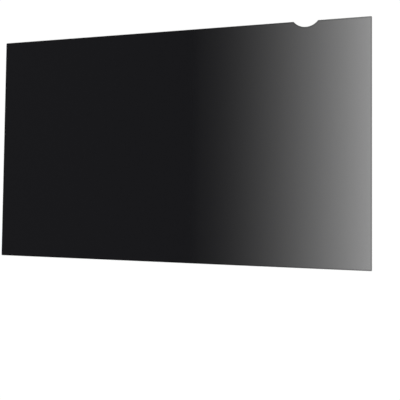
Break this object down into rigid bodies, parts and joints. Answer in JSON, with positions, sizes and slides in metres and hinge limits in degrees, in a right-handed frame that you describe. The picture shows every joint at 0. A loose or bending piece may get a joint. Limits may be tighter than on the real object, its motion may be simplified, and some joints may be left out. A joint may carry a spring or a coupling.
{
  "type": "monitor privacy filter",
  "caption": "Thin rectangular sheet of dark louvre film with a finger notch in its upper edge, laid over a display so that it can be read only from in front.",
  "frame": {"origin": "on the back face, under the middle of the sheet's outline", "axes": "+X along the width towards the notch's end, +Y towards the upper edge with the notch, +Z out of the front face; the sheet lies flat on its back face"},
  "size_m": [0.531, 0.299, 0.0005],
  "materials": {
    "louvre_film": "dark smoke-grey see-through film with a low-reflection satin face"
  },
  "bodies": {
    "root": {"filter_sheet": "louvre_film"}
  },
  "joints": []
}
